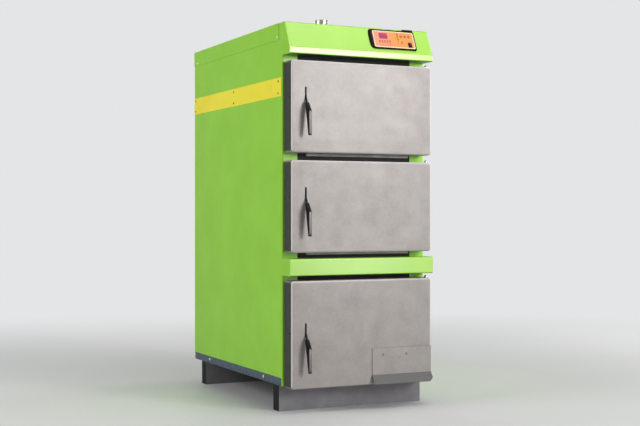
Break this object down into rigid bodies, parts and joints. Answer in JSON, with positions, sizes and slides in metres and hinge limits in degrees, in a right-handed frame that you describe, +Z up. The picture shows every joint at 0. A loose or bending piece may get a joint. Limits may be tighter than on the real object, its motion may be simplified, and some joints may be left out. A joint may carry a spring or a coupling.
{
  "type": "hot water boiler",
  "caption": "Floor-standing solid-fuel hot water boiler in a sheet casing with hinged fire doors, lever latches, an air flap, a sloped control hood, channel legs and a rear flue.",
  "frame": {"origin": "middle of the footprint on the floor, between the grips' front and the flue's end", "axes": "+X to the right seen from the front, -Y out of the door side, +Z up"},
  "size_m": [0.6094, 1.1656, 1.5035],
  "materials": {
    "green_paint": "smooth powder coat",
    "yellow_band": "gloss",
    "white_screw": "gloss",
    "dark_rivet": "satin",
    "dark_steel": "matt paint",
    "galvanised": "zinc plated",
    "boiler_steel": "mill scale",
    "frame_steel": "bare steel",
    "black_steel": "matt paint",
    "zinc": "zinc plated",
    "cast_iron": "as cast",
    "firebrick": "porous",
    "wool": "mineral wool",
    "rope": "braided",
    "pipe_steel": "turned",
    "black_plastic": "moulded",
    "orange_face": "printed foil",
    "display": "tinted window",
    "key_brown": "moulded",
    "grey_lacquer": "hammered lacquer"
  },
  "bodies": {
    "casing": {"front_leg": "dark_steel", "rear_leg": "dark_steel", "base_rails": "galvanised", "side_panel_left": "green_paint", "side_panel_right": "green_paint", "rear_panel": "green_paint", "top_cover": "green_paint", "hood_panel": "green_paint", "middle_bar": "green_paint", "front_panel": "black_steel", "side_bands": "yellow_band", "casing_screws": "white_screw", "band_rivets": "dark_rivet", "front_plate": "boiler_steel", "jacket_plates": "boiler_steel", "jacket_back": "boiler_steel", "chamber_plates": "boiler_steel", "chamber_back": "boiler_steel", "door_frames": "frame_steel", "hinge_lugs": "black_steel", "latch_strikers": "zinc", "grate": "cast_iron", "firebricks": "firebrick", "ash_pan": "galvanised", "exchanger_shelves": "boiler_steel", "insulation": "wool", "flue_outlet": "boiler_steel", "supply_pipe": "pipe_steel", "return_pipe": "pipe_steel", "drain_pipe": "pipe_steel", "controller_housing": "black_plastic", "controller_face": "orange_face", "display_window": "display"},
    "damper": {"flue_damper": "frame_steel"},
    "rocker": {"rocker_switch": "black_plastic"},
    "key_one": {"key_1": "key_brown"},
    "key_two": {"key_2": "key_brown"},
    "key_three": {"key_3": "key_brown"},
    "flap": {"air_flap": "grey_lacquer"},
    "door_upper": {"door_shell_upper": "grey_lacquer", "door_liner_upper": "frame_steel", "door_wool_upper": "wool", "door_rope_upper": "rope", "door_pins_upper": "zinc"},
    "latch_upper": {"latch_lever_upper": "zinc", "latch_grip_upper": "black_plastic"},
    "door_middle": {"door_shell_middle": "grey_lacquer", "door_liner_middle": "frame_steel", "door_wool_middle": "wool", "door_rope_middle": "rope", "door_pins_middle": "zinc"},
    "latch_middle": {"latch_lever_middle": "zinc", "latch_grip_middle": "black_plastic"},
    "door_lower": {"door_shell_lower": "grey_lacquer", "door_liner_lower": "frame_steel", "door_wool_lower": "wool", "door_rope_lower": "rope", "door_pins_lower": "zinc"},
    "latch_lower": {"latch_lever_lower": "zinc", "latch_grip_lower": "black_plastic"}
  },
  "joints": [
    {"name": "door_upper_hinge", "type": "hinge", "parent": "casing", "child": "door_upper", "pos_m": [0.283, -0.5212, 1.1235], "axis": [0, 0, 1], "range_deg": [0, 110]},
    {"name": "latch_upper_pivot", "type": "hinge", "parent": "door_upper", "child": "latch_upper", "pos_m": [-0.2355, -0.5282, 1.1575], "axis": [-1, 0, 0], "range_deg": [-8, 50]},
    {"name": "door_middle_hinge", "type": "hinge", "parent": "casing", "child": "door_middle", "pos_m": [0.283, -0.5212, 0.7575], "axis": [0, 0, 1], "range_deg": [0, 110]},
    {"name": "latch_middle_pivot", "type": "hinge", "parent": "door_middle", "child": "latch_middle", "pos_m": [-0.2355, -0.5282, 0.791], "axis": [-1, 0, 0], "range_deg": [-8, 50]},
    {"name": "door_lower_hinge", "type": "hinge", "parent": "casing", "child": "door_lower", "pos_m": [0.283, -0.5212, 0.2885], "axis": [0, 0, 1], "range_deg": [0, 110]},
    {"name": "latch_lower_pivot", "type": "hinge", "parent": "door_lower", "child": "latch_lower", "pos_m": [-0.2355, -0.5282, 0.294], "axis": [-1, 0, 0], "range_deg": [-8, 50]},
    {"name": "air_flap_hinge", "type": "hinge", "parent": "door_lower", "child": "flap", "pos_m": [0.133, -0.5332, 0.229], "axis": [-1, 0, 0], "range_deg": [0, 30]},
    {"name": "damper_turn", "type": "hinge", "parent": "casing", "child": "damper", "pos_m": [0, 0.5038, 1.195], "axis": [0, 0, 1], "range_deg": [0, 85]},
    {"name": "rocker_tip", "type": "hinge", "parent": "casing", "child": "rocker", "pos_m": [0.206, -0.5309, 1.37139], "axis": [-1, 0, 0], "range_deg": [0, 14]},
    {"name": "key_one_press", "type": "slide", "parent": "casing", "child": "key_one", "axis": [0, 0.9116, -0.4111], "range_m": [0, 0.001], "stiffness_N_per_m": 600, "springref_m": -0.0005},
    {"name": "key_two_press", "type": "slide", "parent": "casing", "child": "key_two", "axis": [0, 0.9116, -0.4111], "range_m": [0, 0.001], "stiffness_N_per_m": 600, "springref_m": -0.0005},
    {"name": "key_three_press", "type": "slide", "parent": "casing", "child": "key_three", "axis": [0, 0.9116, -0.4111], "range_m": [0, 0.001], "stiffness_N_per_m": 600, "springref_m": -0.0005}
  ]
}
